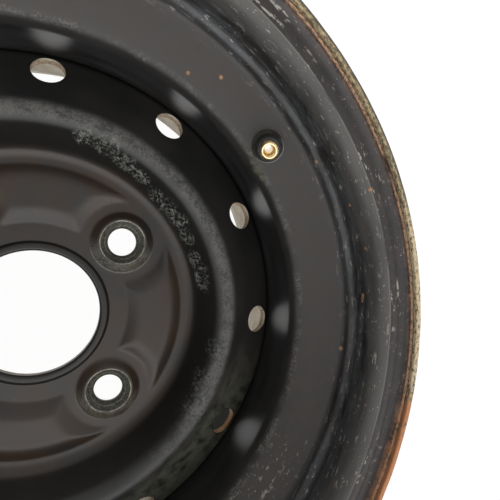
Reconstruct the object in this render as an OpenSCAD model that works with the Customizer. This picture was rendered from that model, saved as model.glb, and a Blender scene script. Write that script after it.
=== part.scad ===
// Pressed steel wheel for a light utility vehicle: a rolled drop-centre rim,
// a pressed disc welded into its well, and a snap-in tyre valve.
// The wheel axis is Z and +Z points outboard. The disc's hub face lies in the
// plane z = 0, and the wheel lies on its inboard flange.
// Outlines are drawn as [radius, height] pairs in the half plane x > 0.

/* [Rim] */
// Bead seat diameter on the tyre side, at the flange
bead_seat_d = 304; // [270:1:380]
// Width between the two flanges, on the tyre side
rim_width = 178; // [150:1:230]
// From the hub face out to the outboard flange
outboard_reach = 79; // [62:1:95]
// Sheet thickness of the rim
rim_sheet = 2.6; // [2:0.1:3.4]
// Height of each flange above the bead seat
flange_height = 12.8; // [11:0.1:17]
// How far each flange curls out past its tyre side wall
flange_curl = 9.1; // [8:0.1:12]
// Taper of the bead seats
seat_taper = 5; // [3:0.5:7]
// From a flange to the crest of its safety hump
seat_length = 17; // [15:0.5:21]
// Height of the safety humps
hump_height = 0.9; // [0.4:0.1:1.5]
// Drop from the bead seat down to the floor of the well
well_drop = 24.5; // [18:0.5:30]
// Slope of the outboard wall of the well, from the wheel's plane
well_wall_slope = 27; // [15:1:35]
// Slope of the inboard ramp of the well, from the wheel's axis
well_ramp_slope = 42; // [30:1:60]
// Opening taper of the well floor, from its outboard wall to the disc
well_taper = 5.5; // [0:0.5:7]

/* [Disc] */
// Sheet thickness of the disc
disc_sheet = 3.2; // [2.5:0.1:4]
// Diameter of the centre bore
bore_d = 62; // [50:0.5:74]
// Height of the rounded collar round the bore, above the face
collar_height = 1.5; // [0.5:0.1:3]
// Width of that collar
collar_width = 4.9; // [3.5:0.1:6]
// Diameter of the flat face, out to the foot of the bowl
face_d = 159; // [150:1:170]
// Slope of the bowl's wall, from the wheel's plane
bowl_slope = 62; // [50:1:72]
// Height of the crown's sharp corner above the hub face
crown_height = 27; // [20:0.5:34]
// Rounding of the crown
crown_round = 9; // [6:0.5:12]
// Height of the disc's outer corner above the hub face
shoulder_height = 9; // [6:0.5:14]
// Length of the disc's rim flange below that corner
disc_flange = 18; // [14:0.5:24]
// Gap between the disc's flange and the well, on the radius
disc_fit = 0.05; // [0.02:0.01:0.1]

/* [Bolt holes] */
// Diameter of the bolt circle
bolt_circle_d = 110; // [100:1:118]
// Number of bolt holes
bolt_count = 4; // [3:1:4]
// Diameter of a bolt hole
bolt_hole_d = 14.5; // [11:0.5:16]
// Diameter of a nut seat at its rim
nut_seat_d = 22.5; // [20:0.5:25]
// Diameter of the raised boss at its foot
boss_d = 32; // [29:0.5:34]
// Height of a boss above the face
boss_height = 3.2; // [2:0.1:4]
// Depth of the conical nut seat
nut_seat_depth = 3.6; // [2.5:0.1:4.5]

/* [Stiffening pads] */
// Gap from the foot of the bore's collar out to the pads
pad_in_gap = 9.1; // [6:0.1:12]
// Gap from the pads out to the corner between face and bowl
pad_out_gap = 6; // [5:0.5:10]
// Height of the pads above the face
pad_height = 3; // [1.5:0.1:4]
// Width of a pad's pressed flank
pad_flank = 6.5; // [5:0.5:8]
// Radius about a bolt hole that the pads stay outside of
pad_clear = 21; // [18:0.5:23]

/* [Vents] */
// Number of vent holes
vent_count = 12; // [6:1:12]
// Diameter of a vent hole
vent_d = 15; // [10:0.5:18]
// From the disc's outer face in to the centres of the vents
vent_inset = 9.1; // [8:0.1:14]
// Turn of the vents against the bolt holes
vent_turn = 1.2; // [-3:0.1:3]

/* [Disc weld] */
// Number of weld stitches
weld_count = 8; // [4:1:12]
// Length of a stitch, as an angle
weld_angle = 28; // [10:1:28]
// Leg of the fillet weld
weld_leg = 3; // [2:0.1:3.2]

/* [Valve] */
// Place of the valve round the wheel
valve_turn = 43.5; // [0:0.5:90]
// From the corner of the well floor out to the valve, along the radius
valve_out = 10.9; // [10.5:0.1:12]
// Diameter of the valve's hole in the rim
valve_hole_d = 11.5; // [11:0.1:12]
// Diameter of the rubber bulb that holds the valve in its hole
valve_bulb_d = 15.2; // [14:0.1:16]
// Length of the valve out from the rim
valve_length = 22; // [20:1:36]
// Diameter of the brass stem's thread
valve_thread_d = 7.7; // [7.2:0.1:8]
// Diameter of the stem's open mouth, where the valve core screws in
valve_mouth_d = 5.2; // [4.8:0.1:5.6]
// Diameter of the passage below that mouth
valve_passage_d = 3.8; // [3:0.1:4.2]
// Length of bare brass beyond the rubber
valve_bare = 9; // [7:0.5:11]

/* [Hidden] */
$fn = 144;
small_fn = 64;
arc_step = 15;

paint = [0.16, 0.15, 0.14];
rubber = [0.10, 0.10, 0.10];
brass = [0.78, 0.58, 0.28];
weld_grey = [0.24, 0.22, 0.20];

// Planes across the wheel
outboard_lip_z = outboard_reach + flange_curl;
inboard_lip_z = outboard_reach - rim_width - flange_curl;

// Rim radii, on the hub side of the sheet
lip_r = bead_seat_d / 2 + flange_height - rim_sheet;
heel_r = bead_seat_d / 2 - rim_sheet;
curl_bend = 4.9;
heel_bend = flange_height - curl_bend;
hump_run = 2.6;
hump_bend = 3;
ledge_drop = 2.7;
ledge_run = 2.9;
shoulder_bend = 4;
well_bend = 8;
ramp_bend = 10;
seat_bend = 40;
edge_round = 0.7;

// Well floor: a tapered stretch, then a cylinder that the disc sits in
disc_seat_r = bead_seat_d / 2 - well_drop - rim_sheet;
disc_r = disc_seat_r - disc_fit;
disc_top_z = shoulder_height + 6;
disc_end_z = shoulder_height - disc_flange;
well_end_z = disc_end_z - weld_leg - 6;

// Disc
bore_r = bore_d / 2;
face_r = face_d / 2;
crown_r = face_r + (crown_height - disc_sheet) / tan(bowl_slope);
cone_slope = atan2(crown_height - shoulder_height, disc_r - crown_r);
foot_bend = 7;
flange_bend = 6;
bolt_r = bolt_circle_d / 2;
boss_top_z = disc_sheet + boss_height;
nut_foot_z = boss_top_z - nut_seat_depth;
nut_rim_r = nut_seat_d / 2 + 0.8;
bolt_angle = 45;
collar_foot_r = bore_r + collar_width;
pad_in_r = collar_foot_r + pad_in_gap;
pad_out_r = face_r - pad_out_gap;
vent_r = disc_r - vent_inset;

// Points of an arc about c, from angle a to angle b
function arc(c, r, a, b) =
    let (steps = max(1, ceil(abs(b - a) / arc_step)))
    [for (i = [0:steps]) c + r * [cos(a + (b - a) * i / steps), sin(a + (b - a) * i / steps)]];

function unit(v) = v / norm(v);
function left(v) = [-v[1], v[0]];
function point(p) = [p[0], p[1]];
function turn_of(u, v) = atan2(u[0] * v[1] - u[1] * v[0], u * v);

// One corner of an outline, b, rounded to the radius that is its third number
function rounded_corner(a, b, c) =
    let (u = unit(point(b) - point(a)), v = unit(point(c) - point(b)), turn = turn_of(u, v))
    abs(turn) < 0.5 || b[2] == 0 ? [point(b)] :
    let (
        side = sign(turn),
        start = point(b) - u * b[2] * tan(abs(turn) / 2),
        centre = start + side * b[2] * left(u),
        from = atan2(-side * left(u)[1], -side * left(u)[0])
    )
    arc(centre, b[2], from, from + turn);

// A closed outline with every corner rounded
function rounded(corners) =
    let (n = len(corners))
    [for (i = [0:n - 1])
        each rounded_corner(corners[(i + n - 1) % n], corners[i], corners[(i + 1) % n])];

// The corner of a bent sheet moved d to the left, with its bend radius
function moved_corner(path, i, d) =
    let (
        last = len(path) - 1,
        here = point(path[i]),
        u = i == 0 ? unit(point(path[1]) - here) : unit(here - point(path[i - 1])),
        v = i == last ? u : unit(point(path[i + 1]) - here),
        shift = (left(u) + left(v)) / (1 + u * v),
        moved = here + d * shift,
        bend = i == 0 || i == last ? edge_round : max(0.5, path[i][2] - sign(turn_of(u, v)) * d)
    )
    [moved[0], moved[1], bend];

// The section of a sheet: its face runs along path and its back is t to the left
function sheet_section(path, t) =
    let (last = len(path) - 1)
    rounded(concat(
        [for (i = [0:last]) moved_corner(path, i, 0)],
        [for (i = [last:-1:0]) moved_corner(path, i, t)]
    ));

// Hub side of one flange, its bead seat and its hump, from the lip inwards.
// lip_z is the plane of the lip and way is -1 outboard and 1 inboard.
function bead_path(lip_z, way) =
    let (
        wall = flange_curl - rim_sheet,
        seat = function (run) heel_r - (run - flange_curl) * tan(seat_taper),
        hump = flange_curl + seat_length
    )
    [
        [lip_r, lip_z, 0],
        [lip_r, lip_z + way * wall, curl_bend],
        [seat(wall), lip_z + way * wall, heel_bend],
        [seat(hump - hump_run), lip_z + way * (hump - hump_run), hump_bend],
        [seat(hump) + hump_height, lip_z + way * hump, hump_bend],
        [seat(hump) + hump_height - ledge_drop, lip_z + way * (hump + ledge_run), hump_bend]
    ];

outboard_bead = bead_path(outboard_lip_z, -1);
inboard_bead = bead_path(inboard_lip_z, 1);

// Outboard shoulder of the well, then its wall, floor, ramp and inboard ledge
shoulder_r = outboard_bead[5][0] - 0.6;
shoulder_z = outboard_bead[5][1] - ledge_run;
floor_r = function (z) disc_seat_r - (z - disc_top_z) * tan(well_taper);
floor_z = (shoulder_z - (shoulder_r - floor_r(0)) * tan(well_wall_slope))
    / (1 + tan(well_taper) * tan(well_wall_slope));
ledge_r = inboard_bead[5][0] - 0.6;
ramp_top_z = well_end_z - (ledge_r - disc_seat_r) / tan(well_ramp_slope);

rim_path = concat(
    outboard_bead,
    [
        [shoulder_r, shoulder_z, shoulder_bend],
        [floor_r(floor_z), floor_z, well_bend],
        [disc_seat_r, disc_top_z, seat_bend],
        [disc_seat_r, well_end_z, ramp_bend],
        [ledge_r, ramp_top_z, ramp_bend]
    ],
    [for (i = [5:-1:0]) inboard_bead[i]]
);

// Outboard face of the disc, from the bore out to the end of its flange
disc_path = [
    [disc_r, disc_end_z, 0],
    [disc_r, shoulder_height, flange_bend],
    [crown_r, crown_height, crown_round],
    [face_r, disc_sheet, foot_bend],
    [bore_r, disc_sheet, 0]
];

// Valve seat: a point of the well's outboard wall, and the wall's slope there
valve_r = floor_r(floor_z) + valve_out;
valve_z = floor_z + valve_out * tan(well_wall_slope);

module at_valve() {
    rotate(valve_turn)
        translate([valve_r, 0, valve_z])
            rotate([0, -well_wall_slope, 0])
                children();
}

module rim() {
    color(paint)
        difference() {
            rotate_extrude() polygon(sheet_section(rim_path, rim_sheet));
            at_valve() translate([0, 0, -10]) cylinder(d = valve_hole_d, h = 20, $fn = small_fn);
        }
}

// Section of the disc: the bent sheet, with a rounded collar round its bore
function disc_section() =
    let (
        last = len(disc_path) - 1,
        collar_top = disc_sheet + collar_height
    )
    rounded(concat(
        [for (i = [0:last - 1]) moved_corner(disc_path, i, 0)],
        [
            [collar_foot_r, disc_sheet, 0.8],
            [collar_foot_r - 0.6, collar_top, 1.6],
            [bore_r, collar_top, 1.6],
            [bore_r, 0, 0]
        ],
        [for (i = [last - 1:-1:0]) moved_corner(disc_path, i, disc_sheet)]
    ));

// Part of a cone about Z, between heights z0 and z1, that has radius r at z = foot
module cone_band(r, rate, foot, z0, z1) {
    translate([0, 0, z0])
        cylinder(r1 = r + rate * (z0 - foot), r2 = r + rate * (z1 - foot), h = z1 - z0, $fn = small_fn);
}

module at_bolts() {
    for (i = [0:bolt_count - 1])
        rotate(bolt_angle + 360 * i / bolt_count)
            translate([bolt_r, 0, 0])
                children();
}

// The pads: a ring with sloping flanks, raised from the height foot, that stays
// clear of the bolt holes. It reaches 1 mm below foot, into the sheet.
module pads(foot) {
    rate = pad_flank / pad_height;
    low = foot - 1;
    high = foot + pad_height;
    difference() {
        rotate_extrude()
            polygon([
                [pad_in_r - rate, low],
                [pad_in_r + pad_flank, high],
                [pad_out_r - pad_flank, high],
                [pad_out_r + rate, low]
            ]);
        at_bolts() cone_band(pad_clear, rate, foot, low - 1, high + 1);
    }
}

// Outside of a boss: a cone up to the rim of its nut seat
module boss() {
    rate = (nut_rim_r - boss_d / 2) / boss_height;
    cone_band(boss_d / 2, rate, disc_sheet, disc_sheet - 1, boss_top_z);
}

// Hollow behind a boss, left open round the wall of the nut seat
module boss_hollow() {
    rate = (nut_rim_r - boss_d / 2) / boss_height;
    wall_r = bolt_hole_d / 2 + 2.4;
    rotate_extrude($fn = small_fn)
        polygon([
            [wall_r, -1],
            [boss_d / 2 - rate, -1],
            [nut_rim_r, boss_height],
            [wall_r, boss_height - (nut_rim_r - wall_r) * nut_seat_depth / (nut_rim_r - bolt_hole_d / 2)]
        ]);
}

// Nut seat and bolt hole
module nut_hole() {
    rate = (nut_seat_d - bolt_hole_d) / 2 / nut_seat_depth;
    rotate_extrude($fn = small_fn)
        polygon([
            [0, -1],
            [bolt_hole_d / 2, -1],
            [bolt_hole_d / 2, nut_foot_z],
            [nut_seat_d / 2 + rate, boss_top_z + 1],
            [0, boss_top_z + 1]
        ]);
}

module vent_holes() {
    vent_z = shoulder_height + vent_inset * tan(cone_slope);
    for (i = [0:vent_count - 1])
        rotate(vent_turn + 360 * i / vent_count)
            translate([vent_r, 0, vent_z])
                rotate([0, cone_slope, 0])
                    translate([0, 0, -disc_sheet - 2])
                        cylinder(d = vent_d, h = disc_sheet + 14, $fn = small_fn);
}

// What is pressed into the face ends at the foot of the bore's collar
module outside_collar() {
    difference() {
        children();
        translate([0, 0, -3]) cylinder(r = collar_foot_r, h = boss_top_z + 6);
    }
}

module disc() {
    color(paint)
        difference() {
            union() {
                rotate_extrude() polygon(disc_section());
                outside_collar() {
                    pads(disc_sheet);
                    at_bolts() boss();
                }
            }
            outside_collar() {
                pads(0);
                at_bolts() boss_hollow();
            }
            at_bolts() nut_hole();
            vent_holes();
        }
}

// Stitches of fillet weld under the disc's flange, against the floor of the well
module disc_weld() {
    color(weld_grey)
        for (i = [0:weld_count - 1])
            rotate(360 * (i + 0.5) / weld_count - weld_angle / 2)
                rotate_extrude(angle = weld_angle)
                    polygon([
                        [disc_seat_r, disc_end_z],
                        [disc_seat_r, disc_end_z - weld_leg],
                        [disc_seat_r - weld_leg * 0.55, disc_end_z - weld_leg * 0.75],
                        [disc_seat_r - weld_leg * 0.9, disc_end_z]
                    ]);
}

// Snap-in valve, drawn on its own axis with z = 0 on the hub side of the rim
head_d = 19;
head_height = 5.5;
bulb_height = 4;
neck_d = 12.4;
rubber_top_d = 10.4;
rubber_top_z = valve_length - valve_bare;
rubber_foot_z = -rim_sheet - head_height;
// The wall of the well is hollow, so the flat bulb touches it at its two sides
bulb_foot_z = valve_bulb_d * valve_bulb_d / 8 * sin(well_wall_slope) / valve_r;
stem_root_d = 6.4;

module valve_body() {
    color(rubber)
        at_valve()
            rotate_extrude($fn = small_fn)
                polygon(rounded([
                    [stem_root_d / 2, rubber_foot_z, 0],
                    [head_d / 2 - 3, rubber_foot_z, 1.5],
                    [head_d / 2, -rim_sheet, 0.6],
                    [valve_hole_d / 2, -rim_sheet, 0],
                    [valve_hole_d / 2, bulb_foot_z, 0],
                    [valve_bulb_d / 2, bulb_foot_z, 0.5],
                    [valve_bulb_d / 2, bulb_height * 0.5, 0.8],
                    [neck_d / 2, bulb_height, 1],
                    [rubber_top_d / 2, rubber_top_z, 1.2],
                    [stem_root_d / 2, rubber_top_z, 0]
                ]));
}

// The brass stem: a plain root held by the rubber, then the cap's thread, which
// starts just above the rubber. Its mouth is wide for the missing valve core.
module valve_stem() {
    stem_foot_z = rubber_foot_z + 0.5;
    thread_z = rubber_top_z + 0.5;
    mouth_z = valve_length - valve_bare;
    chamfer = 0.6;
    step = (valve_mouth_d - valve_passage_d) / 2;
    color(brass)
        at_valve()
            rotate_extrude($fn = small_fn)
                polygon([
                    [valve_passage_d / 2, stem_foot_z],
                    [stem_root_d / 2, stem_foot_z],
                    [stem_root_d / 2, thread_z],
                    [valve_thread_d / 2, thread_z],
                    [valve_thread_d / 2, valve_length - chamfer],
                    [valve_thread_d / 2 - chamfer, valve_length],
                    [valve_mouth_d / 2, valve_length],
                    [valve_mouth_d / 2, mouth_z],
                    [valve_passage_d / 2, mouth_z - step]
                ]);
}

rim();
disc();
disc_weld();
valve_body();
valve_stem();
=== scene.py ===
"""A pressed steel wheel of a light utility vehicle, bare of its tyre.

It lies on its inboard flange with its outboard side up, as the photograph
shows it. The wheel's axis is Z. Places round the wheel are in degrees from +X,
and a section is a list of (radius, height) points in metres.
"""
import functools
import math

import bmesh
import bpy
import numpy as np
from mathutils import Euler, Matrix, Vector, noise
from mathutils.geometry import delaunay_2d_cdt


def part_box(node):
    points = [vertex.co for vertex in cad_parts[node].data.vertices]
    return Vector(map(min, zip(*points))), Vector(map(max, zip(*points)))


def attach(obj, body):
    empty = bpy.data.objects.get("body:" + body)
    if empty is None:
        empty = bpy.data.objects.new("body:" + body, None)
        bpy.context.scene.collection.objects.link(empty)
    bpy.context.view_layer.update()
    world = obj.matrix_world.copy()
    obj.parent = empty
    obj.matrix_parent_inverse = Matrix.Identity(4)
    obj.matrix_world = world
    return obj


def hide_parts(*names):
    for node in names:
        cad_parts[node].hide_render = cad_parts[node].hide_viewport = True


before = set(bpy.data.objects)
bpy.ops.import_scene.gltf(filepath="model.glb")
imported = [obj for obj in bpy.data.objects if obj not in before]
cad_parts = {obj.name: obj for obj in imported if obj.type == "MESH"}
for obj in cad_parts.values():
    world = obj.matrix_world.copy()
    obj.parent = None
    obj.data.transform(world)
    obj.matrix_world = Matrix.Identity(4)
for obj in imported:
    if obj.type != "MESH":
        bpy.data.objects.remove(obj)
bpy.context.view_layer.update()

MM = 0.001
scene = bpy.context.scene


# The rim is one strip of 2.6 mm steel sheet, rolled into a hoop, butt-welded and
# formed to a drop-centre section: two flanges, two tapered bead seats with safety
# humps, and a well that lets the tyre's bead drop in while the tyre is put on.
rim_sheet = 2.6 * MM
edge_round = 0.7 * MM
bead_seat_r = 152 * MM
flange_height = 12.8 * MM
flange_curl = 9.1 * MM
curl_bend = 4.9 * MM
seat_taper = math.tan(math.radians(5))
seat_length = 17 * MM
hump_run = 2.6 * MM
hump_height = 0.9 * MM
hump_bend = 3 * MM
ledge_drop = 2.7 * MM
ledge_run = 2.9 * MM
shoulder_step = 0.6 * MM
shoulder_bend = 4 * MM
well_drop = 24.5 * MM
well_bend = 8 * MM
well_wall_slope = math.radians(27)
well_taper = math.tan(math.radians(5.5))
well_ramp_slope = math.tan(math.radians(42))
ramp_bend = 10 * MM
seat_bend = 40 * MM
disc_top_z = 15 * MM
well_end_z = -18 * MM
valve_turn = 43.5
valve_out = 10.9 * MM
valve_hole_r = 5.75 * MM

rim_low, rim_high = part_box("rim")
heel_r = bead_seat_r - rim_sheet
lip_r = heel_r + flange_height
disc_seat_r = bead_seat_r - well_drop - rim_sheet


def bead_path(lip_z, way):
    """Corners of a flange, its bead seat and its hump on the hub side, as (r, z, bend)."""
    wall = flange_curl - rim_sheet
    hump = flange_curl + seat_length

    def seat(run):
        return heel_r - (run - flange_curl) * seat_taper

    return [
        (lip_r, lip_z, edge_round),
        (lip_r, lip_z + way * wall, curl_bend),
        (seat(wall), lip_z + way * wall, flange_height - curl_bend),
        (seat(hump - hump_run), lip_z + way * (hump - hump_run), hump_bend),
        (seat(hump) + hump_height, lip_z + way * hump, hump_bend),
        (seat(hump) + hump_height - ledge_drop, lip_z + way * (hump + ledge_run), hump_bend),
    ]


outboard_bead = bead_path(rim_high.z, -1)
inboard_bead = bead_path(rim_low.z, 1)
shoulder_r = outboard_bead[-1][0] - shoulder_step
shoulder_z = outboard_bead[-1][1] - ledge_run
wall_rise = math.tan(well_wall_slope)
# Where the well's sloping wall, coming down from the shoulder, meets its tapered floor
floor_z = (shoulder_z - (shoulder_r - disc_seat_r - disc_top_z * well_taper) * wall_rise) / (
    1 + well_taper * wall_rise
)
floor_r = disc_seat_r - (floor_z - disc_top_z) * well_taper
ledge_r = inboard_bead[-1][0] - shoulder_step
rim_path = (
    outboard_bead
    + [
        (shoulder_r, shoulder_z, shoulder_bend),
        (floor_r, floor_z, well_bend),
        (disc_seat_r, disc_top_z, seat_bend),
        (disc_seat_r, well_end_z, ramp_bend),
        (ledge_r, well_end_z - (ledge_r - disc_seat_r) / well_ramp_slope, ramp_bend),
    ]
    + inboard_bead[::-1]
)


def leftward(v):
    return np.array([-v[1], v[0]])


def unit(v):
    return v / np.hypot(v[0], v[1])


def turn_between(u, v):
    return math.atan2(u[0] * v[1] - u[1] * v[0], float(u @ v))


least_bend = 0.5 * MM


def beside(path, shift):
    """Corners of a bent sheet's side that lies shift to the left of path."""
    points = [np.array(corner[:2]) for corner in path]
    moved = []
    for i, here in enumerate(points):
        u = unit(here - points[i - 1]) if i else unit(points[1] - here)
        v = unit(points[i + 1] - here) if i + 1 < len(points) else u
        corner = here + shift * (leftward(u) + leftward(v)) / (1 + float(u @ v))
        turn = turn_between(u, v)
        inside = math.copysign(shift, turn) if abs(turn) > 1e-6 else 0
        bend = max(least_bend, path[i][2] - inside) if 0 < i < len(points) - 1 else edge_round
        moved.append((corner[0], corner[1], bend))
    return moved


def rounded(corners, reach, step=8):
    """A closed section with its corners rounded off in steps of a few degrees, and with
    points no further apart than reach."""
    points = []
    for i, (x, z, bend) in enumerate(corners):
        here = np.array([x, z])
        u = unit(here - np.array(corners[i - 1][:2]))
        v = unit(np.array(corners[(i + 1) % len(corners)][:2]) - here)
        turn = turn_between(u, v)
        if bend == 0 or abs(turn) < 0.01:
            points.append(here)
            continue
        side = math.copysign(1, turn)
        start = here - u * bend * math.tan(abs(turn) / 2)
        centre = start + side * bend * leftward(u)
        spoke = start - centre
        steps = max(2, math.ceil(math.degrees(abs(turn)) / step))
        for k in range(steps + 1):
            c, s = math.cos(turn * k / steps), math.sin(turn * k / steps)
            swung = [c * spoke[0] - s * spoke[1], s * spoke[0] + c * spoke[1]]
            points.append(centre + np.array(swung))
    spaced = []
    for i, here in enumerate(points):
        ahead = points[(i + 1) % len(points)]
        parts = max(1, math.ceil(np.hypot(*(ahead - here)) / reach))
        spaced += [here + (ahead - here) * k / parts for k in range(parts)]
    return np.array(spaced)


merge_within = 0.002 * MM


def smooth(mesh):
    """Shade a mesh smooth, with its edges over 38 degrees kept sharp."""
    mesh.shade_smooth()
    mesh.set_sharp_from_angle(angle=math.radians(38))


def skin(name, points, faces):
    """A closed mesh object, with its doubled points merged and its faces turned outwards."""
    mesh = bpy.data.meshes.new(name)
    mesh.from_pydata([tuple(p) for p in points], [], faces)
    shaped = bmesh.new()
    shaped.from_mesh(mesh)
    bmesh.ops.remove_doubles(shaped, verts=shaped.verts, dist=merge_within)
    bmesh.ops.recalc_face_normals(shaped, faces=shaped.faces)
    shaped.to_mesh(mesh)
    shaped.free()
    smooth(mesh)
    piece = bpy.data.objects.new(name, mesh)
    scene.collection.objects.link(piece)
    return piece


def turned(section, angles, closed=True):
    """Points and faces of a section turned about Z through angles, in radians."""
    rows, turns = len(section), len(angles)
    r, z = section[:, 0, None], section[:, 1, None]
    points = np.stack(
        [r * np.cos(angles), r * np.sin(angles), np.repeat(z, turns, axis=1)], axis=2
    ).reshape(-1, 3)
    i, j = np.meshgrid(np.arange(rows if closed else rows - 1), np.arange(turns), indexing="ij")
    up, on = (i + 1) % rows, (j + 1) % turns
    faces = np.stack(
        [i * turns + j, i * turns + on, up * turns + on, up * turns + j], axis=2
    ).reshape(-1, 4)
    return points, faces.tolist()


# The section stands on this many spokes round the wheel, and on eight more, given in
# degrees, at the hoop's butt weld, whose seam stands up a little on both sides
spokes = 264
seam_turn = valve_turn + 180
seam_spokes = seam_turn + np.array([-0.95, -0.6, -0.35, -0.1, 0.15, 0.4, 0.65, 0.9])
seam_width = 2.2 * MM
seam_height = 0.16 * MM
seam_low_z = floor_z - 50 * MM
seam_out_r = 135 * MM
# The lip's nicks follow a noise: its blotches' length and its strength, which leaves
# nicks of up to 0.3 mm, and how far below the lip's top they reach
nick_length = 9 * MM
nick_strength = 0.45 * MM
nicked_height = 1.6 * MM
every_spoke = np.concatenate([np.arange(spokes) * 360 / spokes, seam_spokes])
round_the_wheel = np.radians(np.sort(every_spoke))
rim_section = rounded(beside(rim_path, 0) + beside(rim_path, rim_sheet)[::-1], reach=6 * MM)
rim_points, rim_faces = turned(rim_section, round_the_wheel)


def wear(points):
    """Nicks and flats of the outboard lip, and the rolled hoop's butt-weld seam."""
    worn = points.copy()
    for k, (x, y, z) in enumerate(points):
        r = math.hypot(x, y)
        if z > rim_high.z - nicked_height:
            place = Vector((x, y, 0)) / nick_length
            nick = max(0, noise.noise(place) + 0.25 * noise.noise(place * 3.1))
            worn[k, 2] -= nick_strength * nick
        elif seam_low_z < z < floor_z and r < seam_out_r:
            off = math.atan2(y, x) - math.radians(seam_turn)
            off = (off + math.pi) % (2 * math.pi) - math.pi
            bump = seam_height * math.exp(-((off * r / seam_width) ** 2))
            away = bump if r > disc_seat_r + rim_sheet / 2 else -bump
            worn[k, :2] *= 1 + away / r
    return worn


rim = skin("rim_hoop", wear(rim_points), rim_faces)


# From the valve's own axis to its place in the well's outboard wall
valve_seat = (
    Matrix.Rotation(math.radians(valve_turn), 4, "Z")
    @ Matrix.Translation((floor_r + valve_out, 0, floor_z + valve_out * wall_rise))
    @ Matrix.Rotation(-well_wall_slope, 4, "Y")
)


def settle(piece):
    """Make what the piece's modifiers show its own mesh, and take them off."""
    modified = piece.evaluated_get(bpy.context.evaluated_depsgraph_get())
    whole = bpy.data.meshes.new_from_object(modified)
    piece.modifiers.clear()
    plain, piece.data = piece.data, whole
    bpy.data.meshes.remove(plain)
    smooth(whole)


def punch(piece, cutter):
    """Take the cutter's solid out of the piece for good."""
    cut = piece.modifiers.new("punch", "BOOLEAN")
    cut.operation = "DIFFERENCE"
    cut.solver = "EXACT"
    cut.object = cutter
    settle(piece)
    bpy.data.objects.remove(cutter)


valve_sides = 64
punch_reach = 9 * MM
round_the_valve = np.radians(np.arange(valve_sides) * 360 / valve_sides)
punch_line = np.array([
    (0, -punch_reach), (valve_hole_r, -punch_reach), (valve_hole_r, punch_reach), (0, punch_reach),
])
punch_points, punch_faces = turned(punch_line, round_the_valve)
valve_punch = skin("valve_punch", punch_points, punch_faces)
valve_punch.data.transform(valve_seat)
punch(rim, valve_punch)


class Wire:
    """One output in a node tree. Arithmetic on wires and numbers adds Math nodes."""

    def __init__(self, tree, socket=None):
        self.tree = tree
        self.socket = socket

    def node(self, kind, settings=None, inputs=None, out=0):
        """Any other node: its type, its settings, then what goes into its inputs."""
        made = self.tree.nodes.new(kind)
        for name, value in (settings or {}).items():
            setattr(made, name, value)
        for key, value in (inputs or {}).items():
            if isinstance(value, Wire):
                self.tree.links.new(value.socket, made.inputs[key])
            else:
                made.inputs[key].default_value = value
        return Wire(self.tree, made.outputs[out])

    def math(self, operation, *values):
        return self.node("ShaderNodeMath", {"operation": operation}, dict(enumerate(values)))

    def vector_math(self, operation, *values, out=0):
        values = dict(enumerate(values))
        return self.node("ShaderNodeVectorMath", {"operation": operation}, values, out)

    def __add__(self, other):
        return self.math("ADD", self, other)

    __radd__ = __add__

    def __sub__(self, other):
        return self.math("SUBTRACT", self, other)

    def __rsub__(self, other):
        return self.math("SUBTRACT", other, self)

    def __mul__(self, other):
        return self.math("MULTIPLY", self, other)

    __rmul__ = __mul__

    def __truediv__(self, other):
        return self.math("DIVIDE", self, other)

    def __rtruediv__(self, other):
        return self.math("DIVIDE", other, self)

    def __pow__(self, other):
        return self.math("POWER", self, other)

    def __rpow__(self, other):
        return self.math("POWER", other, self)

    def __neg__(self):
        return self * -1

    def most(self, other):
        return self.math("MAXIMUM", self, other)

    def least(self, other):
        return self.math("MINIMUM", self, other)

    def size(self):
        return self.math("ABSOLUTE", self)

    def ease(self, low, high):
        """0 at low, 1 at high, eased between; low may be the greater."""
        return self.node(
            "ShaderNodeMapRange", {"interpolation_type": "SMOOTHSTEP"},
            {"Value": self, "From Min": low, "From Max": high},
        )

    def band(self, low, high, soft):
        """1 between low and high, with soft edges."""
        return self.ease(low - soft, low + soft) * self.ease(high + soft, high - soft)

    def mix(self, plain, other):
        """A colour: plain where this wire is 0, other where it is 1."""
        ends = {0: self, 6: plain, 7: other}
        return self.node("ShaderNodeMix", {"data_type": "RGBA"}, ends, out=2)

    def blend(self, plain, other):
        """The same for a number."""
        return self.node("ShaderNodeMix", {"data_type": "FLOAT"}, {0: self, 2: plain, 3: other})

    def axes(self):
        return [self.node("ShaderNodeSeparateXYZ", inputs={0: self}, out=k) for k in range(3)]

    def stretched(self, factors):
        return self.vector_math("MULTIPLY", self, factors)

    def grain(self, size, detail=2.0, roughness=0.5):
        """Noise from 0 to 1 whose blotches are about size across."""
        return self.node(
            "ShaderNodeTexNoise",
            inputs={"Vector": self, "Scale": 1 / size, "Detail": detail, "Roughness": roughness},
        )

    def specks(self, cell, radius, share, seed):
        """Round specks of up to radius, in a share of the cells of a grid."""
        shifted = self.vector_math("ADD", self, (seed, 0.37 * seed, 0))
        wanted = {"Vector": shifted, "Scale": 1 / cell}
        far = self.node("ShaderNodeTexVoronoi", inputs=wanted, out="Distance") * cell
        chance, bulk, _ = self.node("ShaderNodeTexVoronoi", inputs=wanted, out="Color").axes()
        reach = radius * (0.35 + 0.65 * bulk) * chance.ease(share + 0.01, share)
        return (far / reach.most(0.001)).ease(1.0, 0.6)

    def near(self, spot, wobble):
        """1 within a spot (radius, degrees, height, size in mm), with an edge that wobbles."""
        r, turn, z, size = spot
        centre = (r * math.cos(math.radians(turn)), r * math.sin(math.radians(turn)), z)
        far = self.vector_math("DISTANCE", self, centre, out="Value")
        return (far + size * wobble).ease(size, 0.55 * size)

    def near_any(self, spots, wobble):
        """The same for the nearest of several spots."""
        return functools.reduce(Wire.most, [self.near(spot, wobble) for spot in spots])


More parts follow.
